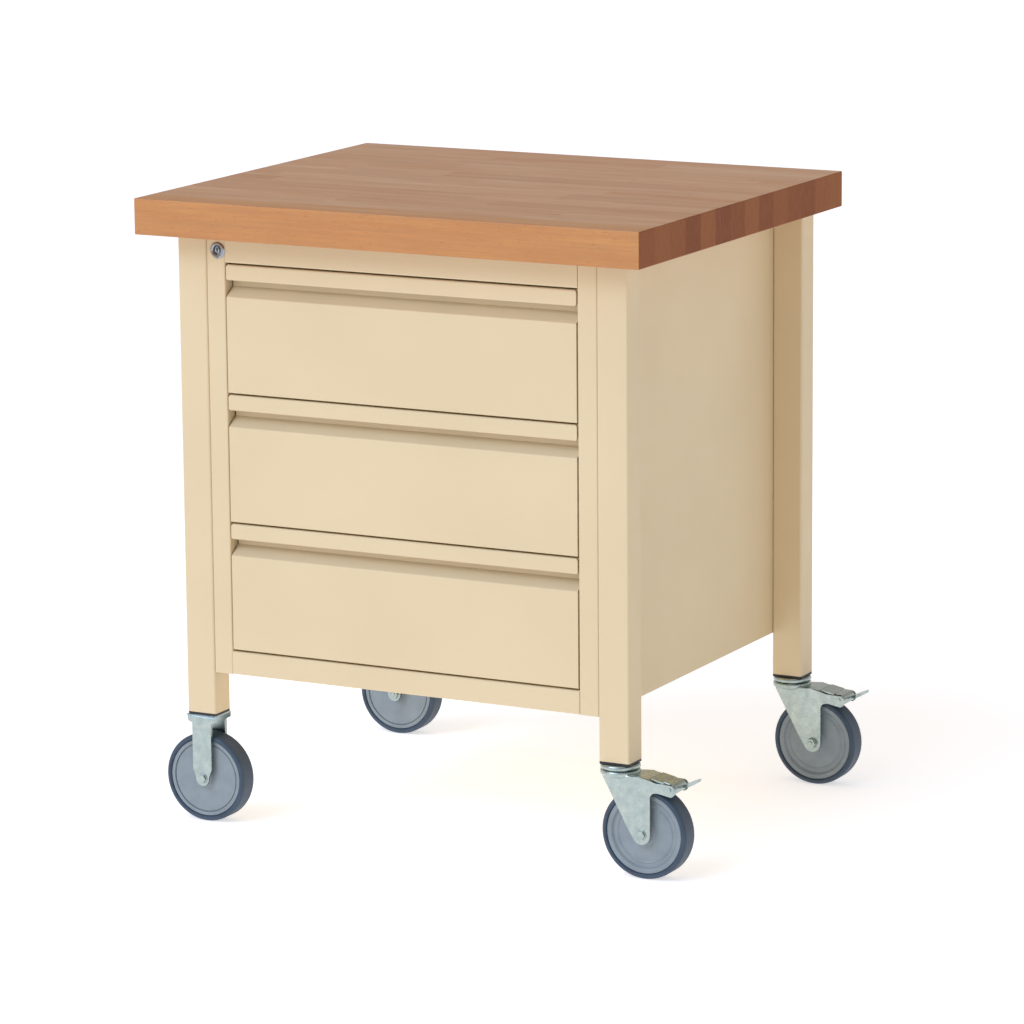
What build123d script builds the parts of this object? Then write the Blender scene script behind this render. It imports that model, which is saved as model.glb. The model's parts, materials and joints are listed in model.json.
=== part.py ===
from build123d import *
import math
import os

# Mobile workbench: a thick beech worktop on four square-tube legs, with a sheet-steel
# cabinet of equal drawers between them, two fixed and two braked swivel casters.
# +X is to the right seen from the front, +Y to the back, +Z up, millimetres.
# The origin is on the floor, under the middle of the whole bench, brake pedals included.

# ---------------------------------------------------------------- driving sizes
top_width = 765.0
top_depth = 645.0
top_thickness = 50.0
top_edge = 1.5               # eased edges of the worktop

side_overhang = 40.0         # worktop beyond the legs
front_overhang = 46.0
rear_overhang = 6.5

leg_width = 45.0             # tube section, across the front
leg_depth = 40.0
leg_wall = 2.0
leg_corner = 3.0
leg_below_cabinet = 60.0     # tube left showing under the cabinet

cap_flange = 3.5             # plastic cap between tube and caster
plug_length = 20.0
nut_plate = 8.0

sheet = 1.5                  # cabinet and drawer-front steel
bend = 1.5                   # bend radius at the middle of the sheet
flange = 22.0                # turned-in edges of the side panels
stile_width = 28.8
stile_setback = 1.0          # cabinet front behind the legs' front
stile_return = 12.0
top_rail = 38.0
bottom_rail = 32.5
post_front_gap = 26.5        # cabinet front to the front slide posts
post_width = 25.0
rear_clearance = 63.0        # behind the slides

drawer_count = 3
drawer_pitch = 180.0
drawer_gap = 2.5             # between one front and the next
drawer_side_gap = 1.7
grip_height = 21.5
grip_hem = 4.0
grip_corner = 4.0
recess_depth = 19.0          # finger recess behind the grip
slope_start = 31.8           # below the top of the front
slope_end = 45.0
front_return = 15.0
front_lip = 20.0

tray_sheet = 1.2
tray_raise = 12.0            # tray floor above the bottom of its front
tray_height = 115.0
tray_front_margin = 8.0      # top of the front above the tray's front wall

slide_height = 45.0
slide_space = 13.0           # from post to tray
slide_sheet = 1.2
slide_raise = 40.0
slide_play = 2.0             # ball space between the nested members
slide_overlap = 50.0         # members still engaged when fully open

lock_in_stile = 10.7         # lock centre from the opening's edge
lock_above_opening = 16.5
rosette_radius = 11.5
barrel_radius = 6.0
lock_body_radius = 7.6
lock_nut_across = 16.8
crank = 9.0                  # crank pin from the barrel's axis
crank_pin = 2.0
bar_sheet = 2.0
bar_setback = 5.5            # behind the folded edge of the stile
finger_height = 10.0
finger_clear = 2.0           # finger above its catch when unlocked
catch_raise = 105.0
catch_height = 10.0

wheel_diameter = 125.0
tyre_width = 32.0
tyre_shoulder = 6.5
tyre_thickness = 7.5
rim_band = 6.0               # rim standing proud around the disc
hub_radius = 13.0
hub_width = 38.0
rim_width = 27.0
disc_width = 15.0
axle_radius = 4.0
axle_head = 6.5
axle_head_height = 3.5
axle_nut = 13.0              # across the flats
axle_nut_height = 6.5
axle_end = 8.0               # thread beyond the fork
fork_half_width = 22.0       # outside of the fork plates
fork_sheet = 2.5
fork_roof_drop = 11.5        # top plate to the roof of a swivel fork
wheel_headroom = 28.5        # top of the wheel to the caster's top plate
head_radius = 27.5
race_gap = 0.5
king_radius = 6.0            # bolt that holds a caster in its leg
fork_front = 20.0            # swivel axis to the front edge of its fork
trail = 41.0                 # swivel axis to axle
axle_boss = 13.0
arm_reach = 90.0             # swivel axis to the end of the brake arm
pedal_pivot = 82.0
pedal_drop = 13.0            # pedal pin below the fork's roof
pedal_reach = 119.0
pedal_width = 22.0
brake_pin = 3.0

running_fit = 0.05           # radial, where one piece turns on another
bolt_clearance = 0.5         # radial, in a plain bolt hole
thread_clearance = 0.1       # radial, stands in for a thread
moving_gap = 0.4             # between plain sliding faces

# ---------------------------------------------------------------- derived places
wheel_radius = wheel_diameter / 2
rim_radius = wheel_radius - tyre_thickness
disc_radius = rim_radius - rim_band
caster_height = wheel_diameter + wheel_headroom
leg_bottom = caster_height + cap_flange
cabinet_bottom = leg_bottom + leg_below_cabinet
opening_bottom = cabinet_bottom + bottom_rail
opening_top = opening_bottom + drawer_count * drawer_pitch + drawer_gap
underside = opening_top + top_rail
bench_height = underside + top_thickness

leg_out = top_width / 2 - side_overhang
leg_in = leg_out - leg_width
leg_x = leg_out - leg_width / 2
leg_front = -top_depth / 2 + front_overhang
leg_back = top_depth / 2 - rear_overhang
leg_y_front = leg_front + leg_depth / 2
leg_y_back = leg_back - leg_depth / 2

front = leg_front + stile_setback
back = leg_back - stile_setback
panel_in = leg_in - sheet
opening_half = leg_in - stile_width
front_half = opening_half - drawer_side_gap
front_height = drawer_pitch - drawer_gap
tray_front = front + recess_depth + sheet
slide_front = front + post_front_gap
slide_back = back - rear_clearance
slide_length = slide_back - slide_front
slide_travel = slide_length - slide_overlap
post_half = front_half
tray_half = post_half - slide_space

lock_x = -opening_half - lock_in_stile
lock_z = opening_top + lock_above_opening
bar_travel = 2 * crank * math.sin(math.radians(45))
bar_y = front + stile_return + bar_setback

roof = caster_height - fork_roof_drop
pedal_z = roof - pedal_drop

# The pedals reach further right than the worktop, so the middle is off its centre line.
origin_x = (leg_x + pedal_reach - top_width / 2) / 2

left_right = (-1, 1)
front_rear = (leg_y_front, leg_y_back)


def drawer_bottom(number):
    """Height of a drawer front's lower edge, counted from the bottom drawer."""
    return opening_bottom + drawer_gap + number * drawer_pitch


# ---------------------------------------------------------------- helpers
def slab(x, y, z):
    """A block between two x, two y and two z values."""
    size = (abs(x[1] - x[0]), abs(y[1] - y[0]), abs(z[1] - z[0]))
    middle = (sum(x) / 2, sum(y) / 2, sum(z) / 2)
    return Pos(*middle) * Box(*size)


def upright_rod(x, y, z, radius):
    """A round bar or hole along Z."""
    return Pos(x, y, sum(z) / 2) * Cylinder(radius, z[1] - z[0])


def cross_rod(x, z, y, radius):
    """A round bar or hole along Y."""
    return Pos(x, sum(y) / 2, z) * Rot(90, 0, 0) * Cylinder(radius, y[1] - y[0])


def side_rod(y, z, x, radius):
    """A round bar or hole along X."""
    return Pos(sum(x) / 2, y, z) * Rot(0, 90, 0) * Cylinder(radius, abs(x[1] - x[0]))


def folded(points, thickness, radius):
    """Section of folded sheet, whose middle follows the points."""
    return trace(FilletPolyline(*points, radius=radius), line_width=thickness)


def mirrored(piece):
    return mirror(piece, about=Plane.YZ)


def hexagon_nut(across, height):
    return extrude(RegularPolygon(across / 2, 6, major_radius=False), amount=height)


def save(node, *pieces):
    """Write the solids of one node, moved so that the bench is centred on its origin."""
    solids = []
    for piece in pieces:
        solids += (Pos(-origin_x, 0, 0) * piece).solids()
    shape = solids[0] if len(solids) == 1 else Compound(solids)
    export_step(shape, f"parts/{node}.step")


# ---------------------------------------------------------------- worktop
screw_radius = 3.0
screw_length = 30.0
screw_head = 6.5
screw_head_height = 3.5
screw_x = leg_in - sheet - flange / 2
screw_inset = 80.0
screw_rows = (front + screw_inset, (front + back) / 2, back - screw_inset)


def screw_places():
    return [(side * screw_x, y) for side in left_right for y in screw_rows]


def worktop():
    block = Pos(0, 0, underside) * extrude(Rectangle(top_width, top_depth), amount=top_thickness)
    block = chamfer(block.edges(), top_edge)
    for x, y in screw_places():
        depth = (underside - 1, underside + screw_length - sheet + 1)
        block -= upright_rod(x, y, depth, screw_radius + thread_clearance)
    return block


def worktop_screws():
    under = underside - sheet
    screws = []
    for x, y in screw_places():
        head = upright_rod(x, y, (under - screw_head_height, under), screw_head)
        screws.append(head + upright_rod(x, y, (under, under + screw_length), screw_radius))
    return screws


# ---------------------------------------------------------------- legs
bolt_radius = 4.0
bolt_head = 7.0
bolt_head_height = 3.5
bolt_length = 22.0
bolt_nut = 13.0
bolt_nut_height = 6.5
bolt_raise = 60.0            # above each drawer front's lower edge
bolt_heights = [drawer_bottom(number) + bolt_raise for number in range(drawer_count)]


def leg(side, y):
    """Rectangular tube with bolt holes through its inner wall."""
    outer = RectangleRounded(leg_width, leg_depth, leg_corner)
    inner = RectangleRounded(leg_width - 2 * leg_wall, leg_depth - 2 * leg_wall, leg_corner - leg_wall)
    tube = Pos(side * leg_x, y, leg_bottom) * extrude(outer - inner, amount=underside - leg_bottom)
    for z in bolt_heights:
        wall = (side * (leg_in - 1), side * (leg_in + leg_wall + 1))
        tube -= side_rod(y, z, wall, bolt_radius + bolt_clearance)
    return tube


def leg_bolt(side, y, z):
    """Button-head bolt from inside the cabinet, with its nut inside the leg."""
    head = side_rod(y, z, (side * (panel_in - bolt_head_height), side * panel_in), bolt_head)
    shank = side_rod(y, z, (side * panel_in, side * (panel_in + bolt_length)), bolt_radius)
    nut = hexagon_nut(bolt_nut, bolt_nut_height)
    nut -= Cylinder(bolt_radius + thread_clearance, 3 * bolt_nut_height)
    nut = Pos(side * (leg_in + leg_wall), y, z) * Rot(0, side * 90, 0) * nut
    return [head + shank, nut]


def leg_bolts():
    pieces = []
    for side in left_right:
        for y in front_rear:
            for z in bolt_heights:
                pieces += leg_bolt(side, y, z)
    return pieces


def inside_tube(clearance):
    """Outline of a piece that fits inside the leg tube."""
    less = 2 * (leg_wall + clearance)
    return RectangleRounded(leg_width - less, leg_depth - less, leg_corner - leg_wall + clearance)


def leg_end_cap(side, y):
    """Black plastic cap: a flange the size of the tube and a plug inside it."""
    rim = extrude(RectangleRounded(leg_width, leg_depth, leg_corner), amount=cap_flange)
    plug = extrude(inside_tube(0.2), amount=cap_flange + plug_length)
    cap = rim + plug - Cylinder(king_radius + bolt_clearance, 3 * (cap_flange + plug_length))
    return Pos(side * leg_x, y, caster_height) * cap


def leg_nut_plate(side, y):
    """Threaded steel plate welded inside the tube above the cap."""
    plate = extrude(inside_tube(0.1), amount=nut_plate)
    plate -= Cylinder(king_radius + thread_clearance, 3 * nut_plate)
    return Pos(side * leg_x, y, leg_bottom + plug_length) * plate


# ---------------------------------------------------------------- cabinet shell
def side_panel():
    """Left side: front stile, side wall and rear edge folded from one sheet."""
    half = sheet / 2
    plan = [
        (-opening_half - half, front + stile_return),
        (-opening_half - half, front + half),
        (-leg_in + half, front + half),
        (-leg_in + half, back - half),
        (-leg_in + flange, back - half),
    ]
    height = underside - cabinet_bottom
    panel = Pos(0, 0, cabinet_bottom) * extrude(folded(plan, sheet, bend), amount=height)
    inside = (-panel_in - sheet / 2, -panel_in + flange)
    along = (front + stile_return + sheet, back - sheet)
    panel += slab(inside, along, (underside - sheet, underside))
    panel += slab(inside, along, (cabinet_bottom, cabinet_bottom + sheet))
    for y in screw_rows:
        edge = (underside - 2 * sheet, underside + 1)
        panel -= upright_rod(-screw_x, y, edge, screw_radius + bolt_clearance)
    for y in front_rear:
        for z in bolt_heights:
            panel -= side_rod(y, z, (-leg_in - 1, -panel_in + 1), bolt_radius + bolt_clearance)
    return panel


def left_panel():
    """The left side carries the lock in its stile."""
    hole = cross_rod(lock_x, lock_z, (front - 1, front + sheet + 1), lock_body_radius + bolt_clearance)
    return side_panel() - hole


def cabinet_back():
    """Rear sheet inside the side panels' edges, with a stiffening flange at its top."""
    rear = back - sheet
    half = panel_in - sheet
    wall = slab((-half, half), (rear - sheet, rear), (cabinet_bottom + sheet, underside - sheet))
    clear = panel_in - flange - moving_gap
    return wall + slab((-clear, clear), (rear - flange, rear), (underside - 2 * sheet, underside - sheet))


def cabinet_floor():
    """Bottom sheet lying on the side panels' lower edges."""
    low = cabinet_bottom + sheet
    along = (front + stile_return + 2 * sheet, back - 2 * sheet)
    return slab((-panel_in, panel_in), along, (low, low + sheet))


def front_rail(low, high, length):
    """Folded channel between the stiles, open to the back."""
    half = sheet / 2
    section = [
        (front + flange, low + half),
        (front + half, low + half),
        (front + half, high - half),
        (front + flange, high - half),
    ]
    return Pos(-length / 2, 0, 0) * extrude(Plane.YZ * folded(section, sheet, bend), amount=length)


def slide_post(y):
    """Upright channel on the left wall that carries the slides."""
    height = (cabinet_bottom + 2 * sheet, underside - 2 * sheet - screw_head_height)
    web = slab((-post_half - sheet, -post_half), (y, y + post_width), height)
    near = slab((-panel_in, -post_half), (y, y + sheet), height)
    far = slab((-panel_in, -post_half), (y + post_width - sheet, y + post_width), height)
    return web + near + far


# ---------------------------------------------------------------- slides
def channel(x, opening, y, z, height, reach):
    """Channel lying along Y: web at x, lips reaching towards opening (+1 or -1)."""
    low, high = z - height / 2, z + height / 2
    far = x + opening * reach
    piece = slab((x, x + opening * slide_sheet), y, (low, high))
    piece += slab((x, far), y, (low, low + slide_sheet))
    return piece + slab((x, far), y, (high - slide_sheet, high))


member_step = slide_sheet + slide_play
middle_height = slide_height - 2 * member_step
inner_height = middle_height - 2 * member_step
outer_reach = 10.0
middle_setback = 3.5
middle_reach = 7.0
inner_reach = 7.3


def slide_member(part, number):
    """Left slide of one drawer: its outer, middle or inner member."""
    y = (slide_front, slide_back)
    z = drawer_bottom(number) + slide_raise + slide_height / 2
    if part == "outer":
        return channel(-post_half, 1, y, z, slide_height, outer_reach)
    if part == "middle":
        return channel(-post_half + middle_setback, 1, y, z, middle_height, middle_reach)
    return channel(-tray_half, -1, y, z, inner_height, inner_reach)


def slide_pair(part, number):
    left = slide_member(part, number)
    return [left, mirrored(left)]


# ---------------------------------------------------------------- drawers
def grip_corners(high):
    """Waste outside the rounded corners of a front's grip strip."""
    size = (2 * front_half, grip_height)
    waste = Rectangle(size[0] + 2, size[1]) - RectangleRounded(*size, grip_corner)
    depth = sheet + grip_hem
    return Pos(0, front + depth, high - grip_height / 2) * extrude(Plane.XZ * waste, amount=depth + 1)


def drawer_front(number):
    """Front folded from one sheet, with a finger recess behind a turned-down grip."""
    low = drawer_bottom(number)
    high = low + front_height
    half = sheet / 2
    face = front + half
    inner = tray_front - half
    hem = face + grip_hem
    section = [
        (inner, low + front_lip),
        (inner, low + half),
        (face, low + half),
        (face, high - slope_end),
        (inner, high - slope_start),
        (inner, high - half),
        (face, high - half),
        (face, high - grip_height + half),
        (hem, high - grip_height + half),
        (hem, high - grip_height + 3 * grip_hem),
    ]
    body = Plane.YZ * folded(section, sheet, bend)
    body = Pos(-front_half, 0, 0) * extrude(body, amount=2 * front_half)
    for side in left_right:
        edge = (side * (front_half - sheet), side * front_half)
        body += slab(edge, (front + half, front + front_return), (low + half, high - slope_end - sheet))
    return body - grip_corners(high)


def tray(number):
    """Drawer tray with a raised front wall that the front is screwed to."""
    low = drawer_bottom(number) + tray_raise
    rear = slide_back
    outer = (-tray_half, tray_half)
    top = low + tray_height
    box = slab(outer, (tray_front, rear), (low, low + tray_sheet))
    for side in left_right:
        box += slab((side * (tray_half - tray_sheet), side * tray_half), (tray_front, rear), (low, top))
    box += slab(outer, (rear - tray_sheet, rear), (low, top))
    wall_top = drawer_bottom(number) + front_height - tray_front_margin
    return box + slab(outer, (tray_front, tray_front + tray_sheet), (low, wall_top))


catch_gap = 3.0              # drawer movement before a locked finger stops it
catch_reach = 10.0
catch_foot = 36.0            # length fastened to the tray's side
finger_reach = 4.0           # locking bar's finger short of the tray


def lock_catch(number):
    """Angle bracket on the tray's left side that a locked finger stands in front of."""
    low = drawer_bottom(number) + catch_raise
    z = (low, low + catch_height)
    near = bar_y + bar_sheet + catch_gap
    tip = slab((-tray_half - catch_reach, -tray_half), (near, near + bar_sheet), z)
    return tip + slab((-tray_half - bar_sheet, -tray_half), (near, near + catch_foot), z)


# ---------------------------------------------------------------- central lock
housing_depth = 13.5
rosette_height = 2.6
rosette_edge = 0.8           # upright rim of the rosette
crown_width = 2.0            # flat ring round the barrel
barrel_setback = 0.6         # barrel's face behind the crown
cam_hub_radius = 5.0
nut_height = 4.0


def lock_housing():
    """Domed rosette and threaded body through the stile, bored for the barrel."""
    outline = [
        (0, front - rosette_height),
        (barrel_radius + crown_width, front - rosette_height),
    ]
    crown = Polyline(*outline)
    shoulder = ThreePointArc(
        outline[-1],
        (rosette_radius - rosette_edge, front - 0.7 * rosette_height),
        (rosette_radius, front - rosette_edge),
    )
    base = Polyline(
        (rosette_radius, front - rosette_edge),
        (rosette_radius, front),
        (lock_body_radius, front),
        (lock_body_radius, front + housing_depth),
        (0, front + housing_depth),
        (0, front - rosette_height),
    )
    section = make_face(crown.edges() + shoulder.edges() + base.edges())
    body = revolve(Plane.XY * section, axis=Axis.Y)
    body = Pos(lock_x, 0, lock_z) * body
    bore_length = (front - housing_depth, front + housing_depth + 1)
    return body - cross_rod(lock_x, lock_z, bore_length, barrel_radius + running_fit)


def lock_nut():
    """Hexagon nut that clamps the lock to the stile from behind."""
    nut = Rot(0, 0, 30) * hexagon_nut(lock_nut_across, nut_height)
    nut -= Cylinder(lock_body_radius + thread_clearance, 3 * nut_height)
    return Pos(lock_x, front + sheet + nut_height, lock_z) * Rot(90, 0, 0) * nut


def lock_barrel():
    """Barrel with a key slot, turning in the housing."""
    slot_width, slot_height, slot_depth = 2.2, 7.0, 9.0
    face = front - rosette_height + barrel_setback
    barrel = cross_rod(lock_x, lock_z, (face, front + housing_depth), barrel_radius)
    slot = slab(
        (lock_x - slot_width / 2, lock_x + slot_width / 2),
        (face - 1, face + slot_depth),
        (lock_z - slot_height / 2, lock_z + slot_height / 2),
    )
    return barrel - slot


def lock_cam():
    """Crank plate on the barrel's tail; its pin drives the locking bar."""
    plate_y = (front + housing_depth, front + housing_depth + bar_sheet)
    pin_x = lock_x - crank * math.cos(math.radians(45))
    pin_z = lock_z + crank * math.sin(math.radians(45))
    hub = cross_rod(lock_x, lock_z, plate_y, cam_hub_radius)
    end = cross_rod(pin_x, pin_z, plate_y, crank_pin + 1)
    arm = Pos((lock_x + pin_x) / 2, sum(plate_y) / 2, (lock_z + pin_z) / 2)
    arm = arm * Rot(0, 45, 0) * Box(crank, bar_sheet, 2 * crank_pin + 2)
    pin = cross_rod(pin_x, pin_z, (plate_y[0], bar_y + bar_sheet + moving_gap), crank_pin)
    return hub + end + arm + pin


bar_left = -panel_in + 4.5
bar_right = -opening_half - 4.0
bar_head_left = -panel_in + 0.8
bar_head_margin = 8.0
guide_wall = 3.0
guide_height = 12.0


def lock_bar():
    """Flat bar behind the stile, with a slotted head and one finger per drawer."""
    y = (bar_y, bar_y + bar_sheet)
    foot = drawer_bottom(0) + catch_raise + catch_height + finger_clear
    pin_z = lock_z + crank * math.sin(math.radians(45))
    bar = slab((bar_left, bar_right), y, (foot, pin_z + bar_head_margin))
    for number in range(drawer_count):
        low = drawer_bottom(number) + catch_raise + catch_height + finger_clear
        bar += slab((bar_left, -tray_half - finger_reach), y, (low, low + finger_height))
    pin_far = lock_x - crank
    pin_near = lock_x - crank * math.cos(math.radians(45))
    room = crank_pin + moving_gap
    head = slab((bar_head_left, bar_right), y, (pin_z - bar_head_margin, pin_z + bar_head_margin))
    slot = slab((pin_far - room, pin_near + room), (y[0] - 1, y[1] + 1), (pin_z - room, pin_z + room))
    return bar + head - slot


def bar_guide(z):
    """Plastic guide on the front post that the locking bar slides through."""
    room = moving_gap
    high = z + guide_height
    block = slab((-panel_in, bar_right + guide_wall), (bar_y - guide_wall, slide_front), (z, high))
    deep = (bar_y - room, bar_y + bar_sheet + room)
    return block - slab((bar_left - room, bar_right + room), deep, (z - 1, high + 1))


def bar_guides():
    """One guide above the bottom drawer's finger and one above the top drawer's."""
    above_finger = catch_raise + catch_height + finger_clear + finger_height + bar_travel
    return [bar_guide(drawer_bottom(n) + above_finger) for n in (0, drawer_count - 1)]


# ---------------------------------------------------------------- wheels
def ring_section(radii, half_width, rounding=0.0):
    """Half section of a ring, for revolving about Y."""
    inner, outer = radii
    face = Pos((inner + outer) / 2, 0) * Rectangle(outer - inner, 2 * half_width)
    if rounding:
        face = fillet(face.vertices().group_by(Axis.X)[-1], rounding)
    return face


def wheel_core(x, y):
    """Plastic hub, disc and rim turned as one piece, bored for the axle."""
    bore = axle_radius + running_fit
    section = ring_section((bore, hub_radius), hub_width / 2)
    section += ring_section((bore, rim_radius), disc_width / 2)
    section += ring_section((disc_radius, rim_radius), rim_width / 2)
    return Pos(x, y, wheel_radius) * revolve(section, axis=Axis.Y)


def tyre(x, y):
    """Solid rubber tread around the rim."""
    section = ring_section((rim_radius, wheel_radius), tyre_width / 2, tyre_shoulder)
    return Pos(x, y, wheel_radius) * revolve(section, axis=Axis.Y)


def axle(x, y):
    """Bolt through the fork and hub, its head outwards, and its nut."""
    bolt = cross_rod(0, 0, (-fork_half_width, fork_half_width + axle_end), axle_radius)
    bolt += cross_rod(0, 0, (-fork_half_width - axle_head_height, -fork_half_width), axle_head)
    nut = hexagon_nut(axle_nut, axle_nut_height)
    nut -= Cylinder(axle_radius + thread_clearance, 3 * axle_nut_height)
    nut = Pos(0, fork_half_width, 0) * Rot(-90, 0, 0) * nut
    turn = 180 if y > 0 else 0
    return [Pos(x, y, wheel_radius) * Rot(0, 0, turn) * piece for piece in (bolt, nut)]


# ---------------------------------------------------------------- casters
fixed_half = 15.0            # half the width of a fixed fork's legs
fixed_boss = 9.0
ear_drop = 9.0
top_plate = 3.0
king_head = 10.0
king_head_height = 4.0
king_top = 12.0              # bolt end above the nut plate
shoe_pivot = 22.0
shoe_pin = 2.0
shoe_clearance = 2.4
shoe_half = 13.0
shoe_block = 4.0
shoe_plate = 2.0
shoe_end_gap = 9.0           # shoe plate short of the pedal pin
block_before_axle = 6.0
block_end_gap = 8.0
fork_front_edge = 6.0        # height of the fork's front edge under the roof
fork_slope = 30.0            # degrees round the axle boss
arm_below_wheel_top = 4.0
arm_end_height = 10.0
arm_open = 12.0              # roof ends this far before the pedal pin
notch_rounding = 8.0
pin_end = 1.5                # pedal pin beyond the fork
pedal_barrel = 6.0
pedal_sheet = 3.0
pedal_neck = 12.0
pedal_saddle = 20.0
pedal_rises = ((20.0, 8.0), (36.0, 14.0))  # beyond and above the pedal pin
through = 100.0              # longer than a caster, for cuts right through it
shoe_z = wheel_diameter + shoe_clearance + shoe_block + shoe_plate / 2


def fixed_fork(y):
    """Left fixed caster fork: top plate with turned-down edges and two legs."""
    x = -leg_x
    wide = fork_half_width
    plate_low = caster_height - top_plate
    fork = slab((x - wide, x + wide), (y - wide, y + wide), (plate_low, caster_height))
    for side in left_right:
        near = y + side * (wide - fork_sheet)
        far = y + side * wide
        fork += slab((x - wide, x + wide), (near, far), (caster_height - ear_drop, caster_height))
        outline = Polyline(
            (-fixed_half, plate_low),
            (-fixed_half, wheel_radius + 1.4 * fixed_boss),
            (-fixed_boss, wheel_radius),
            (fixed_boss, wheel_radius),
            (fixed_half, wheel_radius + 1.4 * fixed_boss),
            (fixed_half, plate_low),
            close=True,
        )
        blade = extrude(Plane.XZ * make_face(outline), amount=fork_sheet)
        fork += Pos(x, max(near, far), 0) * blade
        fork += cross_rod(x, wheel_radius, (min(near, far), max(near, far)), fixed_boss)
    hole = axle_radius + running_fit
    fork -= cross_rod(x, wheel_radius, (y - wide - 1, y + wide + 1), hole)
    return fork - upright_rod(x, y, (plate_low - 1, caster_height + 1), king_radius + bolt_clearance)


def king_bolt(x, y, low):
    """Bolt up through the caster and the cap into the nut plate."""
    top = leg_bottom + plug_length + nut_plate + king_top
    head = upright_rod(x, y, (low, low + king_head_height), king_head)
    return head + upright_rod(x, y, (low + king_head_height, top), king_radius)


def king_bolts():
    bolts = [king_bolt(-leg_x, y, caster_height - top_plate - king_head_height) for y in front_rear]
    drop = fork_sheet + race_gap + king_head_height
    bolts += [king_bolt(leg_x, y, roof - drop) for y in front_rear]
    return bolts


def swivel_head(y):
    """Upper ball race, clamped against the leg's cap."""
    cup_low = caster_height - (fork_roof_drop - race_gap) / 2
    cup = upright_rod(leg_x, y, (cup_low, caster_height), head_radius)
    cup = fillet(cup.edges().group_by(Axis.Z)[0], 2.0)
    return cup - upright_rod(leg_x, y, (cup_low - 1, caster_height + 1), king_radius + thread_clearance)


def fork_outline():
    """Side of a swivel fork, x from the swivel axis, z from the floor."""
    notch = wheel_diameter - arm_below_wheel_top
    slope = math.radians(fork_slope)
    tangent = (trail - axle_boss * math.cos(slope), wheel_radius - axle_boss * math.sin(slope))
    return Polyline(
        (-fork_front, roof),
        (-fork_front, roof - fork_front_edge),
        tangent,
        (trail, wheel_radius),
        (trail + axle_boss, wheel_radius),
        (trail + axle_boss, notch),
        (arm_reach, notch),
        (arm_reach, notch + arm_end_height),
        (pedal_pivot - arm_open, roof - 1),
        (trail, roof),
        close=True,
    )


def swivel_fork(y):
    """Trailing fork: two plates under a roof, with the lower ball race on top."""
    plate = make_face(fork_outline())
    corner = plate.vertices().filter_by(lambda v: abs(v.X - trail - axle_boss) < 0.1).sort_by(Axis.Y)[-1]
    plate = fillet(corner, notch_rounding)
    fork = extrude(Plane.XZ * plate, amount=fork_half_width, both=True)
    roof_low = roof - fork_sheet
    inside = fork_half_width - fork_sheet
    roof_end = pedal_pivot - arm_open
    fork -= slab((-through, roof_end), (-inside, inside), (0, roof_low))
    fork -= slab((roof_end, arm_reach + 1), (-inside, inside), (0, roof + 1))
    for side in left_right:
        ends = sorted((side * inside, side * fork_half_width))
        fork += cross_rod(trail, wheel_radius, ends, axle_boss)
    race_high = caster_height - (fork_roof_drop - race_gap) / 2 - race_gap
    race = upright_rod(0, 0, (roof, race_high), head_radius - 1)
    fork += fillet(race.edges().group_by(Axis.Z)[-1], 1.5)
    fork -= cross_rod(trail, wheel_radius, (-through, through), axle_radius + running_fit)
    fork -= cross_rod(pedal_pivot, pedal_z, (-through, through), brake_pin + running_fit)
    fork -= cross_rod(shoe_pivot, shoe_z, (-through, through), shoe_pin + running_fit)
    fork -= upright_rod(0, 0, (roof_low - 1, race_high + 1), king_radius + running_fit)
    return Pos(leg_x, y, 0) * fork


def brake_pivot(y):
    """Pin across the end of the brake arm."""
    reach = fork_half_width + pin_end
    return Pos(leg_x, y, 0) * cross_rod(pedal_pivot, pedal_z, (-reach, reach), brake_pin)


def brake_pedal(y):
    """Pedal: a barrel on the pin and a tongue that the foot presses."""
    inside = fork_half_width - fork_sheet - moving_gap
    barrel = cross_rod(pedal_pivot, pedal_z, (-inside, inside), pedal_barrel)
    path = [(pedal_pivot, pedal_z + pedal_barrel - pedal_sheet / 2)]
    path += [(pedal_pivot + beyond, pedal_z + above) for beyond, above in pedal_rises]
    strip = Plane.XZ * folded(path, pedal_sheet, 2 * pedal_sheet)
    neck_length = pedal_reach - pedal_pivot - pedal_width / 2
    plan = Pos(pedal_pivot, 0) * Rectangle(pedal_saddle, 2 * inside - pedal_barrel)
    plan += Pos((pedal_pivot + pedal_reach) / 2, 0) * Rectangle(neck_length, pedal_neck)
    plan += Pos(pedal_reach - pedal_width / 2, 0) * Circle(pedal_width / 2)
    shape = extrude(strip, amount=fork_half_width, both=True) & extrude(plan, amount=2 * caster_height)
    pedal = barrel + shape
    pedal -= cross_rod(pedal_pivot, pedal_z, (-through, through), brake_pin + running_fit)
    return Pos(leg_x, y, 0) * pedal


def brake_shoe(y):
    """Brake spring plate with a block over the tyre."""
    tip = pedal_pivot - shoe_end_gap
    level = wheel_diameter + shoe_clearance
    wide = (-shoe_half, shoe_half)
    plate = slab((shoe_pivot, tip), wide, (level + shoe_block, level + shoe_block + shoe_plate))
    block = slab((trail - block_before_axle, tip - block_end_gap), wide, (level, level + shoe_block))
    tabs = cross_rod(shoe_pivot, shoe_z, (-fork_half_width, fork_half_width), shoe_pin)
    return Pos(leg_x, y, 0) * (plate + block + tabs)


# ---------------------------------------------------------------- write the nodes
os.makedirs("parts", exist_ok=True)

drawer_names = {0: "bottom", drawer_count - 1: "top"}
corner_names = {leg_y_front: "front", leg_y_back: "rear"}

save("worktop", worktop())
save("worktop_screws", *worktop_screws())
for y in front_rear:
    save(f"leg_{corner_names[y]}_left", leg(-1, y))
    save(f"leg_{corner_names[y]}_right", leg(1, y))
corners = [(side, y) for side in left_right for y in front_rear]
save("leg_bolts", *leg_bolts())
save("leg_end_caps", *[leg_end_cap(side, y) for side, y in corners])
save("leg_nut_plates", *[leg_nut_plate(side, y) for side, y in corners])

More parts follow.
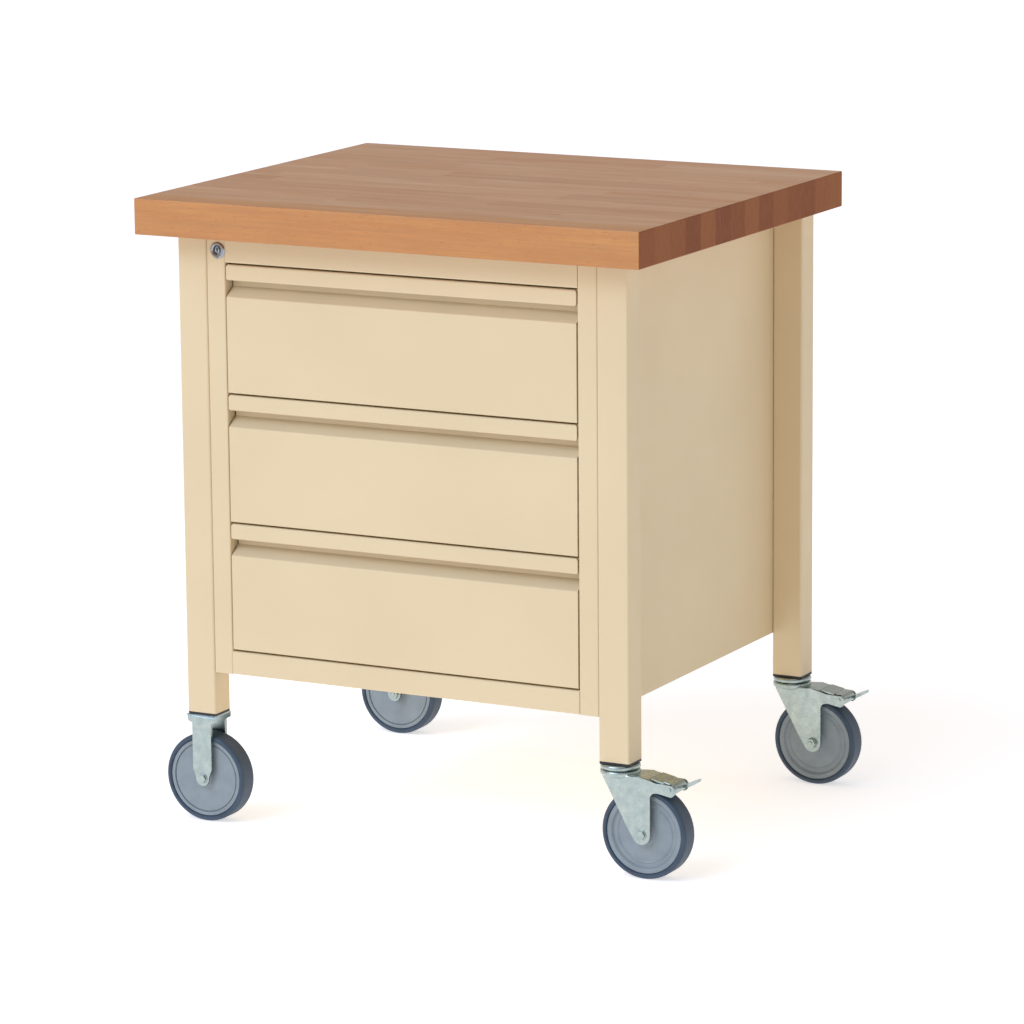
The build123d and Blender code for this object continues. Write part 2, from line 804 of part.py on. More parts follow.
save("cabinet_side_left", left_panel())
save("cabinet_side_right", mirrored(side_panel()))
save("cabinet_back", cabinet_back())
save("cabinet_floor", cabinet_floor())
save("front_rail_top", front_rail(opening_top, underside - sheet, 2 * opening_half))
save("front_rail_bottom", front_rail(cabinet_bottom, opening_bottom, 2 * opening_half))
posts = [slide_post(slide_front), slide_post(slide_back - post_width)]
save("slide_posts", *posts, *[mirrored(post) for post in posts])

for number in range(drawer_count):
    name = drawer_names.get(number, "middle" if drawer_count == 3 else f"middle_{number}")
    save(f"drawer_front_{name}", drawer_front(number))
    save(f"drawer_tray_{name}", tray(number))
    save(f"drawer_catch_{name}", lock_catch(number))
    save(f"slide_middle_{name}", *slide_pair("middle", number))
    save(f"slide_inner_{name}", *slide_pair("inner", number))

outers = [slide_pair("outer", number) for number in range(drawer_count)]
save("slide_outers", *sum(outers, []))

save("lock_housing", lock_housing())
save("lock_nut", lock_nut())
save("lock_barrel", lock_barrel())
save("lock_cam", lock_cam())
save("lock_bar", lock_bar())
save("lock_bar_guides", *bar_guides())

save("fixed_forks", *[fixed_fork(y) for y in front_rear])
save("fixed_axles", *[piece for y in front_rear for piece in axle(-leg_x, y)])
save("king_bolts", *king_bolts())
save("swivel_heads", *[swivel_head(y) for y in front_rear])
for y in front_rear:
    corner = corner_names[y]
    save(f"swivel_fork_{corner}", swivel_fork(y))
    save(f"swivel_axle_{corner}", *axle(leg_x + trail, y))
    save(f"brake_pin_{corner}", brake_pivot(y))
    save(f"brake_pedal_{corner}", brake_pedal(y))
    save(f"brake_shoe_{corner}", brake_shoe(y))
    for hand, x in (("left", -leg_x), ("right", leg_x + trail)):
        save(f"wheel_core_{corner}_{hand}", wheel_core(x, y))
        save(f"tyre_{corner}_{hand}", tyre(x, y))
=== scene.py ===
# %% [markdown]
# # Dressing a mobile workbench
# The bench comes in as sixty CAD nodes with real sizes and joints. They are the frame: nothing
# here moves or resizes them. What Blender adds is what an eye sees first: glued beech, powder
# coat, zinc plate, moulded plastic and rubber, and the rounded shapes of the casters.

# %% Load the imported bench
import json
import math
import random

import bmesh
import bpy
from mathutils import Matrix, Vector


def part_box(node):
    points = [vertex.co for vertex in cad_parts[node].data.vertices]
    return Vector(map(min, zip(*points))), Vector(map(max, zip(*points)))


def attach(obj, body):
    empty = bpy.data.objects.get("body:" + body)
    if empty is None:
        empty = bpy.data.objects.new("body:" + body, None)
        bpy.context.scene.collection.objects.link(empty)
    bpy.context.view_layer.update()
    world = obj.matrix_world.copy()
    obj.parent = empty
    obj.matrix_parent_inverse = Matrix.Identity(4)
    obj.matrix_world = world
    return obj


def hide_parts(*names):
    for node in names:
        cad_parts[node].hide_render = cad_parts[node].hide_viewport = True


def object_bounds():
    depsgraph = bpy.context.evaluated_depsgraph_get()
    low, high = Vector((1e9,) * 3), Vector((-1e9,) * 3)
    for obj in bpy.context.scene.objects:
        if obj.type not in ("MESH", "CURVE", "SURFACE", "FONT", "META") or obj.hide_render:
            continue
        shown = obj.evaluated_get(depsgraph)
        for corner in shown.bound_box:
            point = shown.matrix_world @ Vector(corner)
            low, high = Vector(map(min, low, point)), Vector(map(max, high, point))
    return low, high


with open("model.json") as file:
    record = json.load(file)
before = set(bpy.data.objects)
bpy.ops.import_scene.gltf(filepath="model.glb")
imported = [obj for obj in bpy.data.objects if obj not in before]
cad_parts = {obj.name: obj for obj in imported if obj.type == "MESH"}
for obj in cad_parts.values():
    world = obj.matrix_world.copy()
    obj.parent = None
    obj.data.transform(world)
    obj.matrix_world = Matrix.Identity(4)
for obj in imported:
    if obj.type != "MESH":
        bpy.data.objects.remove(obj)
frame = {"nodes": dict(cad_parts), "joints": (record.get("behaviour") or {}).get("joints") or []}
cad_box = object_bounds()
mm = 0.001
scene = bpy.context.scene

# %% [markdown]
# ## Small tools for shader nodes
# A finish is a tree of shader nodes. Wiring each one by hand is long, so one helper makes a node,
# fills its sockets and joins them, and another starts a tree with a Principled shader. Object
# coordinates are used everywhere: they are metres on the bench, so a grain keeps its real size.

# %% Node helpers
def node(tree, kind, sockets=None, **settings):
    """A shader node; sockets gives each input a value or the output of another node."""
    made = tree.nodes.new("ShaderNode" + kind)
    for key, value in settings.items():
        setattr(made, key, value)
    for key, value in (sockets or {}).items():
        if isinstance(value, bpy.types.NodeSocket):
            tree.links.new(value, made.inputs[key])
        else:
            made.inputs[key].default_value = value
    return made


def new_finish(name, **sockets):
    """A material with a Principled shader, and the coordinates that its textures read."""
    material = bpy.data.materials.new(name)
    material.use_nodes = True
    tree = material.node_tree
    tree.nodes.clear()
    values = {key.replace("_", " "): value for key, value in sockets.items()}
    shader = node(tree, "BsdfPrincipled", values)
    node(tree, "OutputMaterial", {"Surface": shader.outputs["BSDF"]})
    place = node(tree, "TexCoord").outputs["Object"]
    return material, tree, shader, place


def linear(share):
    """One channel from 0 to 1, without the curve that screens add."""
    return share / 12.92 if share <= 0.04045 else ((share + 0.055) / 1.055) ** 2.4


def screen(red, green, blue):
    """A colour given as a screen shows it, 0 to 255, in the linear values that shaders use."""
    return tuple(linear(value / 255) for value in (red, green, blue)) + (1.0,)


print("node helpers ready")

# %% [markdown]
# ## Textures that know their size
# Most surfaces are told apart by noise: slow noise shifts the colour, quick noise breaks up the
# gloss, and very fine noise gives the relief that a fingertip feels. Each helper takes how many
# cells fit into a metre, so 700 means a bump every one and a half millimetres.

# %% Texture helpers
def noise(tree, place, cells, detail=2.0, roughness=0.5, distortion=0.0):
    """Noise from 0 to 1; cells is how many fit in a metre, one number or one for each axis."""
    cells = (cells,) * 3 if isinstance(cells, (int, float)) else cells
    scaled = node(tree, "Mapping", {"Vector": place, "Scale": cells}).outputs["Vector"]
    sockets = {"Vector": scaled, "Scale": 1.0, "Detail": detail}
    sockets |= {"Roughness": roughness, "Distortion": distortion}
    return node(tree, "TexNoise", sockets).outputs["Fac"]


def ramp(tree, factor, *stops):
    """Colours by place along a factor: each stop is (place, colour)."""
    made = node(tree, "ValToRGB", {"Fac": factor})
    elements = made.color_ramp.elements
    for element, (place, colour) in zip(elements, (stops[0], stops[-1])):
        element.position, element.color = place, colour
    for place, colour in stops[1:-1]:
        elements.new(place).color = colour
    return made.outputs["Color"]


def blend(tree, factor, first, second, how="MIX"):
    """Two colours mixed by a factor."""
    sockets = {"Factor": factor, 6: first, 7: second}
    return node(tree, "Mix", sockets, data_type="RGBA", blend_type=how).outputs[2]


def spread(tree, value, low, high, start=0.3, end=0.7):
    """A value from start to end, stretched to run from low to high."""
    sockets = {"Value": value, "From Min": start, "From Max": end, "To Min": low, "To Max": high}
    return node(tree, "MapRange", sockets).outputs["Result"]


def relief(tree, shader, height, depth):
    """Bump whose full height stands for depth, in metres."""
    bump = node(tree, "Bump", {"Height": height, "Distance": depth, "Strength": 1.0})
    tree.links.new(bump.outputs["Normal"], shader.inputs["Normal"])


print("texture helpers ready")

# %% [markdown]
# ## Cream powder coat
# The legs, cabinet and drawers are sheet steel with a baked powder coat. Powder melts into a skin
# with a faint orange peel and a satin gloss. A flat colour looks like paper, so the cream drifts
# a little in tone and in gloss, and a fine bump breaks up the reflections.

# %% Powder coat
def powder_coat():
    material, tree, shader, place = new_finish("cream_paint", Specular_IOR_Level=0.38)
    drift = noise(tree, place, 4)
    cream = ramp(tree, drift, (0.3, screen(216, 196, 158)), (0.7, screen(221, 201, 163)))
    peel = noise(tree, place, 600, detail=1)
    specks = spread(tree, noise(tree, place, 1800), 0.0, 0.06, 0.55, 0.75)
    tree.links.new(blend(tree, specks, cream, screen(208, 187, 150)), shader.inputs["Base Color"])
    tree.links.new(spread(tree, noise(tree, place, 35), 0.40, 0.50), shader.inputs["Roughness"])
    relief(tree, shader, peel, 0.0001)
    return material


finishes = {"cream_paint": powder_coat()}
print("powder coat made")

# %% [markdown]
# ## Beech, along the grain
# The top is a glued board of beech staves. Each stave comes from another tree, so it has its own
# tone. Along the grain beech shows slow bands, fine fibres and short dark flecks, all stretched
# along X. A number painted on each stave's faces picks the tone and shifts the pattern, so that
# neighbours never match. The front row's stave gets a deeper orange, partly its own tone and
# partly painted light: it stands in for the front edge looking warmer than the top in its light.

# %% Long grain
stave_shift = (3.7, 5.3, 9.1)


def stave_place(tree, place):
    """Coordinates moved by each stave's own number, and that number."""
    stave = node(tree, "Attribute", attribute_name="stave").outputs["Fac"]
    sockets = {0: stave, 1: stave_shift, 2: place}
    moved = node(tree, "VectorMath", sockets, operation="MULTIPLY_ADD").outputs["Vector"]
    return moved, stave


def beech_long_grain():
    material, tree, shader, place = new_finish("beech", Coat_Weight=0.05, Coat_Roughness=0.35)
    place, stave = stave_place(tree, place)
    tone = ramp(
        tree, stave,
        # the deeper orange at 0.00 is the front row's: partly stave tone, partly painted light on the
        # front edge
        (0.00, screen(203, 143, 80)),
        (0.06, screen(216, 172, 128)),
        (0.35, screen(209, 163, 120)),
        (0.65, screen(208, 160, 116)),
        (1.00, screen(198, 149, 106)),
    )
    bands = noise(tree, place, (3.0, 26, 34), detail=4, roughness=0.6, distortion=1.2)
    figured = blend(tree, spread(tree, bands, 0.0, 0.5), tone, screen(188, 118, 66))
    streaks = noise(tree, place, (9, 240, 240), detail=3)
    streaked = blend(tree, spread(tree, streaks, 0.0, 0.3), figured, screen(158, 106, 70))
    fibres = noise(tree, place, (45, 1100, 1100), detail=2)
    lined = blend(tree, spread(tree, fibres, 0.0, 0.2), streaked, screen(150, 96, 66))
    flecks = noise(tree, place, (130, 700, 700), detail=1)
    marked = blend(tree, spread(tree, flecks, 0.0, 0.3, 0.64, 0.76), lined, screen(126, 76, 48))
    tree.links.new(marked, shader.inputs["Base Color"])
    tree.links.new(spread(tree, bands, 0.46, 0.56), shader.inputs["Roughness"])
    relief(tree, shader, fibres, 0.00004)
    return material


finishes["beech"] = beech_long_grain()
print("long grain made")

# %% [markdown]
# ## Beech, across the grain
# At the ends of the top the saw has cut across the fibres. End grain drinks the oil and turns
# much darker. It shows the growth rings as arcs, and pores as dots. The wave texture draws rings,
# and the stave's own number moves their centre, as each stave was cut from another place.

# %% End grain
def beech_end_grain():
    material, tree, shader, place = new_finish("beech_end", Specular_IOR_Level=0.10)
    place, stave = stave_place(tree, place)
    tone = ramp(
        tree, stave,
        (0.0, screen(140, 79, 40)),
        (0.3, screen(150, 91, 48)),
        (0.6, screen(134, 75, 37)),
        (1.0, screen(124, 66, 31)),
    )
    sockets = {"Vector": place, "Scale": 75.0, "Distortion": 3.0, "Detail": 2.0, "Detail Scale": 1.5}
    wave = node(tree, "TexWave", sockets, wave_type="RINGS", rings_direction="X")
    rings = wave.outputs["Fac"]
    ringed = blend(tree, spread(tree, rings, 0.0, 0.3, 0.0, 1.0), tone, screen(112, 68, 46))
    rays = noise(tree, place, (900, 900, 60), detail=1)
    rayed = blend(tree, spread(tree, rays, 0.0, 0.25), ringed, screen(178, 122, 88))
    pores = noise(tree, place, 2200, detail=1)
    dotted = blend(tree, spread(tree, pores, 0.0, 0.5, 0.55, 0.7), rayed, screen(90, 54, 38))
    tree.links.new(dotted, shader.inputs["Base Color"])
    tree.links.new(spread(tree, pores, 0.5, 0.65), shader.inputs["Roughness"])
    relief(tree, shader, pores, 0.00005)
    return material


end_grain = beech_end_grain()
print("end grain made")

# %% [markdown]
# ## Zinc plate
# Caster forks, bolts and slides are steel with bright zinc. It mirrors softly, leans to
# blue-green, and has cloudy patches where the bath left larger crystals. The metal is one
# metallic shader whose tint and gloss follow two noises, with the faint dents of rolled sheet.
# The lock's chrome is made in the same way, but it is smoother, so it mirrors more sharply.

# %% Zinc and chrome
def zinc_plate():
    material, tree, shader, place = new_finish("zinc", Metallic=1.0)
    clouds = noise(tree, place, 90, detail=3)
    tint = ramp(tree, clouds, (0.3, screen(160, 174, 172)), (0.7, screen(180, 192, 187)))
    crystals = node(tree, "TexVoronoi", {"Vector": place, "Scale": 420.0}).outputs["Color"]
    tinted = blend(tree, 0.03, tint, crystals, "OVERLAY")
    tree.links.new(tinted, shader.inputs["Base Color"])
    gloss = noise(tree, place, 110, detail=3)
    tree.links.new(spread(tree, gloss, 0.24, 0.33), shader.inputs["Roughness"])
    relief(tree, shader, noise(tree, place, 140), 0.00003)
    return material


def chrome_plate():
    material, tree, shader, place = new_finish("chrome", Metallic=1.0)
    smears = noise(tree, place, 300, detail=3)
    tint = ramp(tree, smears, (0.3, screen(150, 153, 156)), (0.7, screen(168, 171, 174)))
    tree.links.new(tint, shader.inputs["Base Color"])
    tree.links.new(spread(tree, smears, 0.07, 0.16), shader.inputs["Roughness"])
    relief(tree, shader, smears, 0.00001)
    return material


finishes["zinc"] = zinc_plate()
finishes["chrome"] = chrome_plate()
print("metals made")

# %% [markdown]
# ## Plastics and rubber
# The wheel centres are moulded grey plastic, the tyres blue-grey rubber, and the plugs in the
# legs black plastic. They differ in gloss and in grain more than in colour, so one function makes
# all three from a few numbers: two tones, a range of roughness and the size of the grain.

# %% Plastics and rubber
def moulded(name, dark, light, gloss, cells, depth):
    """Plastic or rubber: tones drift between dark and light, gloss is a range of roughness."""
    material, tree, shader, place = new_finish(name)
    drift = noise(tree, place, 45, detail=4)
    grain = noise(tree, place, cells, detail=2)
    tone = ramp(tree, drift, (0.3, dark), (0.7, light))
    dusted = blend(tree, spread(tree, grain, 0.0, 0.10), tone, light)
    tree.links.new(dusted, shader.inputs["Base Color"])
    tree.links.new(spread(tree, drift, *gloss), shader.inputs["Roughness"])
    relief(tree, shader, grain, depth)
    return material


finishes["grey_rubber"] = moulded(
    "grey_rubber", screen(48, 64, 80), screen(60, 79, 97), (0.46, 0.58), 900, 0.00006
)
finishes["grey_plastic"] = moulded(
    "grey_plastic", screen(125, 136, 142), screen(138, 149, 154), (0.34, 0.44), 1300, 0.00003
)
finishes["black_plastic"] = moulded(
    "black_plastic", screen(26, 26, 27), screen(36, 36, 37), (0.42, 0.55), 1200, 0.00004
)
print("finishes:", ", ".join(sorted(finishes)))

# %% [markdown]
# ## Dress the CAD nodes
# Folded sheet, tubes and slides have the right shape already. They only need a better finish, and
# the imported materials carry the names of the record's slots. So each material slot of each node
# is given the finish of the same name.

# %% Finishes on the CAD nodes
dressed = 0
for cad in frame["nodes"].values():
    for holder in cad.material_slots:
        holder.material = finishes[holder.material.name.split(".")[0]]
        dressed += 1
print(dressed, "material slots dressed")

# %% [markdown]
# ## Outlines with round corners
# Turned and pressed parts come from a flat outline. A corner is written as two coordinates and a
# radius, and this helper puts in the arc. It saves long lists of points, and a radius is the
# number that a maker would read from a drawing.

# %% Outline helper
def rounded(*corners, steps=6):
    """Closed outline in metres from corners (a, b) or (a, b, radius) in millimetres."""
    outline = []
    for index, (a, b, *radius) in enumerate(corners):
        here = Vector((a, b))
        if not radius:
            outline.append(here)
            continue
        back = (Vector(corners[index - 1][:2]) - here).normalized()
        ahead = (Vector(corners[(index + 1) % len(corners)][:2]) - here).normalized()
        half = back.angle(ahead) / 2
        centre = here + (back + ahead).normalized() * radius[0] / math.sin(half)
        start = here + back * radius[0] / math.tan(half) - centre
        end = here + ahead * radius[0] / math.tan(half) - centre
        turn = math.atan2(start.x * end.y - start.y * end.x, start.dot(end))
        for step in range(steps + 1):
            outline.append(centre + Matrix.Rotation(turn * step / steps, 2) @ start)
    return [point * mm for point in outline]


def arc(centre, radius, start, end, steps=16):
    """Corners along an arc, in millimetres, from one angle to another in degrees."""
    angles = [math.radians(start + (end - start) * step / steps) for step in range(steps + 1)]
    return [(centre[0] + radius * math.cos(a), centre[1] + radius * math.sin(a)) for a in angles]


print("outline helpers ready")

# %% [markdown]
# ## From outline to piece
# Three ways to make a solid are enough here. Turning sweeps a section round an axis, as a lathe
# does. Slabs push an outline straight through a thickness. Finishing a piece links it to the
# scene, rounds its edges with a bevel, shades its curves smooth, and hangs it on a CAD body.

# %% Solids from outlines
def turned(shape, section, axis, centre, steps=96):
    """Adds the ring that a closed section (radius, along) makes when it turns about an axis."""
    rings = []
    side = Vector((1, 0, 0))
    along = Vector((0, 1, 0)) if axis == "Y" else Vector((0, 0, 1))
    for step in range(steps):
        around = Matrix.Rotation(2 * math.pi * step / steps, 3, axis)
        points = [centre + around @ (side * r + along * h) for r, h in section]
        rings.append([shape.verts.new(point) for point in points])
    for here, there in zip(rings, rings[1:] + rings[:1]):
        for k in range(len(section)):
            shape.faces.new((here[k - 1], here[k], there[k], there[k - 1]))


def slab(shape, outline, low, high, centre):
    """Adds a closed outline pushed along Y from low to high."""
    ends = []
    for y in (low, high):
        ends.append([shape.verts.new(centre + Vector((a, y, b))) for a, b in outline])
    shape.faces.new(ends[0])
    shape.faces.new(ends[1][::-1])
    for k in range(len(outline)):
        shape.faces.new((ends[0][k - 1], ends[0][k], ends[1][k], ends[1][k - 1]))


corner_angle = math.radians(40)
crease_angle = math.radians(32)


def settle(piece):
    """Makes the result of a piece's modifiers its own mesh."""
    graph = bpy.context.evaluated_depsgraph_get()
    mesh = bpy.data.meshes.new_from_object(piece.evaluated_get(graph))
    piece.modifiers.clear()
    piece.data = mesh


def make_piece(name, shape, slot, body, *replaced, sheet=0.0, edge=0.0, cutter=None):
    """Turns a bmesh into a finished piece; sheet thickens a skin inwards, edge rounds corners."""
    bmesh.ops.remove_doubles(shape, verts=shape.verts, dist=1e-6)
    bmesh.ops.recalc_face_normals(shape, faces=shape.faces)
    mesh = bpy.data.meshes.new(name)
    shape.to_mesh(mesh)
    shape.free()
    piece = bpy.data.objects.new(name, mesh)
    scene.collection.objects.link(piece)
    if sheet:
        solid = piece.modifiers.new("sheet", "SOLIDIFY")
        solid.thickness = sheet
        solid.offset = -1.0
    if edge:
        round_over = piece.modifiers.new("edge", "BEVEL")
        round_over.width = edge
        round_over.segments = 2
        round_over.limit_method = "ANGLE"
        round_over.angle_limit = corner_angle
    if cutter:
        hole = piece.modifiers.new("hole", "BOOLEAN")
        hole.operation = "DIFFERENCE"
        hole.object = cutter
        hole.solver = "EXACT"
    settle(piece)
    if cutter:
        bpy.data.objects.remove(cutter)
    piece.data.materials.clear()
    piece.data.materials.append(finishes[slot])
    piece.data.shade_smooth()
    piece.data.set_sharp_from_angle(angle=crease_angle)
    weighted = piece.modifiers.new("flat_faces_stay_flat", "WEIGHTED_NORMAL")
    weighted.keep_sharp = True
    settle(piece)
    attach(piece, body)
    if replaced:
        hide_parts(*replaced)
    print(name, len(piece.data.polygons), "faces")


def joint_place(name):
    """Where a joint's axis stands, in metres."""
    return Vector(next(j["pos_m"] for j in frame["joints"] if j["name"] == name))


print("solid helpers ready")

# %% [markdown]
# ## The glued beech top
# A real block board is planed flush, so its staves show only by tone. The board is one closed
# block with eased edges. Cuts across its faces mark the rows and the butt joints, and each face
# stores its stave's number for the shader. The front row is one full-length stave.

# %% Worktop
row_count = 14
eased = 1.5 * mm
shortest, longest = 0.16, 0.52
least_start, least_end = 0.03, 0.04
palest_inner = 0.08


def cut(shape, faces, place, normal):
    """Splits faces along a plane without parting them."""
    parts = set(faces) | {e for f in faces for e in f.edges} | {v for f in faces for v in f.verts}
    bmesh.ops.bisect_plane(shape, geom=list(parts), plane_co=place, plane_no=normal, dist=1e-6)


def board(shape, low, high):
    """A block with eased edges between two corners."""
    bmesh.ops.create_cube(shape, size=1.0)
    size = high - low
    for v in shape.verts:
        x, y, z = (share + 0.5 for share in v.co)
        v.co = low + Vector((x * size.x, y * size.y, z * size.z))
    edges = list(shape.edges)
    bmesh.ops.bevel(shape, geom=edges, offset=eased, segments=2, profile=0.5, affect="EDGES")


def row_of(face, low, width):
    """Number of the row that a face lies in, from the front."""
    return min(row_count - 1, max(0, int((face.calc_center_median().y - low.y) / width)))


def worktop():
    low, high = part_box("worktop")
    width = (high.y - low.y) / row_count
    draw = random.Random(11)
    shape = bmesh.new()
    board(shape, low, high)
    for row in range(1, row_count):
        cut(shape, shape.faces[:], (0, low.y + row * width, 0), (0, 1, 0))
    joints = [[]]
    for row in range(1, row_count):
        places, x = [], low.x + draw.uniform(least_start, longest)
        while x < high.x - least_end:
            places.append(x)
            x += draw.uniform(shortest, longest)
        joints.append(places)
        for x in places:
            faces = [f for f in shape.faces if row_of(f, low, width) == row]
            cut(shape, faces, (x, 0, 0), (1, 0, 0))
    tones = [[draw.uniform(palest_inner, 1.0) for _ in range(len(places) + 1)] for places in joints]
    # the front row takes the deeper orange at the ramp's start: partly stave tone, partly painted
    # light
    tones[0] = [0.0]
    shape.faces.ensure_lookup_table()
    staves, across = [], []
    for face in shape.faces:
        row = row_of(face, low, width)
        order = sum(face.calc_center_median().x > x for x in joints[row])
        staves.append(tones[row][order])
        across.append(abs(face.normal.x) > 0.6)
    mesh = bpy.data.meshes.new("worktop_board")
    shape.to_mesh(mesh)
    shape.free()
    mesh.materials.append(finishes["beech"])
    mesh.materials.append(end_grain)
    mesh.attributes.new("stave", "FLOAT", "FACE").data.foreach_set("value", staves)
    mesh.polygons.foreach_set("material_index", [int(a) for a in across])
    piece = bpy.data.objects.new("worktop_board", mesh)
    scene.collection.objects.link(piece)
    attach(piece, "bench")
    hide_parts("worktop")
    print("worktop:", sum(len(t) for t in tones), "staves in", row_count, "rows")


worktop()

# %% [markdown]
# ## Wheels and tyres
# A wheel is a lathe job: one section turned about the axle. The section is drawn for one side and
# mirrored. The fixed wheels have a flat disc with a fine groove inside the rim. The swivel wheels
# are dished, with a raised bead and a stepped hub. The tyre has soft shoulders and a flat tread.

# %% Wheel sections
bore, rim, rim_face = 4.1, 55.0, 13.5
flat_disc = [
    (bore, 19.0), (12.0, 19.0, 0.8), (13.0, 12.6, 0.8), (48.0, 12.6, 0.3), (48.4, 11.2),
    (49.4, 11.2), (49.8, rim_face, 0.4), (54.6, rim_face, 0.6), (rim, 12.4),
]
dished_disc = [
    (bore, 19.0), (11.0, 19.0, 0.8), (13.0, 12.5, 1.5), (16.0, 11.0, 1.5), (38.4, 10.2, 1.0),
    (40.4, 11.4, 0.8), (42.0, 10.2, 0.8), (46.0, 10.0, 1.0), (48.6, 13.0, 0.8),
    (50.0, rim_face, 0.6), (54.6, rim_face, 0.6), (rim, 12.4),
]
tyre_half = [(rim, 12.4), (55.6, 14.4, 0.4), (57.0, 15.8, 1.0), (62.5, 16.0, 5.2)]


def both_sides(half):
    """A section drawn for one side, with its mirror image on the other."""
    return half + [(r, -h, *rest) for r, h, *rest in reversed(half)]


def wheel(corner, hand, disc):
    """Core and tyre of one caster."""
    place = f"{corner}_{hand}"
    body = f"wheel_{place}"
    centre = joint_place(f"wheel_spin_{place}")
    core, tread = bmesh.new(), bmesh.new()
    turned(core, rounded(*both_sides(disc), steps=3), "Y", centre, 128)
    turned(tread, rounded(*both_sides(tyre_half), steps=8), "Y", centre, 128)
    make_piece(f"wheel_disc_{place}", core, "grey_plastic", body, f"wheel_core_{place}")
    make_piece(f"wheel_tread_{place}", tread, "grey_rubber", body, f"tyre_{place}")


for corner in ("front", "rear"):
    wheel(corner, "left", flat_disc)
    wheel(corner, "right", dished_disc)

# %% [markdown]
# ## Axle bolts
# Each wheel turns on a bolt. Its head is a chamfered hexagon on a washer, and a nut holds the
# far end, with a little of the bolt past it. A screw modifier could wind a real thread there. At
# this size nobody would see it, so the end is turned smooth, with a chamfer.

# %% Axle bolts
outside = 22.0
shank = 4.0
washer_height, head_height = 0.9, 2.6
nut_height = 6.5


def hexagon(across):
    """Corners of a hexagon by its size across the flats, in metres."""
    radius = across / 2 / math.cos(math.pi / 6) * mm
    angles = [k * math.pi / 3 for k in range(6)]
    return [Vector((radius * math.cos(angle), radius * math.sin(angle))) for angle in angles]


def axle_bolt(name, body, centre, side, *replaced):
    """Head at the front of the fork for side 1 and at the back for -1, nut at the other end."""
    shape = bmesh.new()
    far = side * mm

    def ring(section):
        turned(shape, [Vector((r, -h * side)) for r, h in rounded(*section, steps=3)], "Y", centre, 48)

    nut_end = -outside - nut_height
    washer_end = outside + washer_height
    ring([(0.05, outside), (shank, outside), (shank, nut_end), (0.05, nut_end)])
    ring([(4.2, outside), (7.6, outside), (7.6, washer_end, 0.3), (4.2, washer_end)])
    slab(shape, hexagon(11.0), -far * washer_end, -far * (washer_end + head_height), centre)
    slab(shape, hexagon(13.0), far * outside, far * (outside + nut_height), centre)
    ring([
        (0.05, nut_end), (shank, nut_end), (shank, nut_end - 0.6),
        (3.4, nut_end - 1.2), (3.2, nut_end - 1.5), (0.05, nut_end - 1.5),
    ])
    make_piece(name, shape, "zinc", body, *replaced, edge=0.35 * mm)


front_axle = joint_place("wheel_spin_front_left")
rear_axle = joint_place("wheel_spin_rear_left")
axle_bolt("axle_bolt_front_left", "bench", front_axle, 1, "fixed_axles")
axle_bolt("axle_bolt_rear_left", "bench", rear_axle, -1)
for corner, side in (("front", 1), ("rear", -1)):
    centre = joint_place(f"wheel_spin_{corner}_right")
    axle_bolt(f"axle_bolt_{corner}_right", f"swivel_{corner}", centre, side, f"swivel_axle_{corner}")

# %% [markdown]
# ## Folded forks
# A caster's fork is one blank of sheet steel, folded over the wheel. It is made the same way: a
# side outline, its copy on the other side, and a roof between them. The folds are bevelled into
# bends while it is still a skin, and a Solidify modifier gives it the thickness of the sheet.

# %% Folding a fork
ridge_soft = 5.0
ridge_cuts = 9


def lean_in(shape, half_width, ridge, lean):
    """Bends the sides in ahead of a ridge, softly, without moving the middle of the roof."""
    for step in range(ridge_cuts):
        across = (ridge - ridge_soft * (2 * step / (ridge_cuts - 1) - 1)) * mm
        cut(shape, shape.faces[:], (across, 0, 0), (1, 0, 0))
    for v in shape.verts:
        ahead = (ridge + ridge_soft) * mm - v.co.x
        soft_part = min(ahead, 2 * ridge_soft * mm) ** 2 / (4 * ridge_soft * mm)
        drop = soft_part + max(0.0, ahead - 2 * ridge_soft * mm)
        if ahead > 0 and abs(v.co.y) > half_width * mm / 2:
            v.co.y -= math.copysign(drop * math.tan(math.radians(lean)), v.co.y)


def folded_skin(outline, roof, half_width, centre, bend=3.0, ridge=None, lean=0.0):
    """Skin of a fork: two sides, joined over the outline's roof edges."""
    shape = bmesh.new()
    sides = []
    for side in (-1, 1):
        points = [shape.verts.new((a, side * half_width * mm, b)) for a, b in outline]
        sides.append(points)
        shape.faces.new(points)
    folds = []
    for k in range(*roof):
        shape.faces.new((sides[0][k], sides[0][k + 1], sides[1][k + 1], sides[1][k]))
        for points in sides:
            folds.append(shape.edges.get((points[k], points[k + 1])))
    bmesh.ops.bevel(shape, geom=folds, offset=bend * mm, segments=4, profile=0.5, affect="EDGES")
    if ridge is not None:
        lean_in(shape, half_width - bend, ridge, lean)
    for v in shape.verts:
        v.co += centre
    return shape


print("fork helper ready")

# %% [markdown]
# ## The fixed forks
# On the left the casters don't swivel. A square plate sits under the leg's cap, its edges are
# turned down, and two straight legs run down to the axle. Their sides are turned in to stiffen
# them, which catches the light as a narrow strip.

# %% Fixed forks
fork_sheet = 2.5
plate_half, blade_half, axle_z = 22.0, 15.0, 62.5
flange_depth, flange_width, flange_gap = 4.6, 2.2, 0.6
frame_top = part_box("fixed_forks")[1].z / mm
flanges = {corner: bmesh.new() for corner in ("front", "rear")}


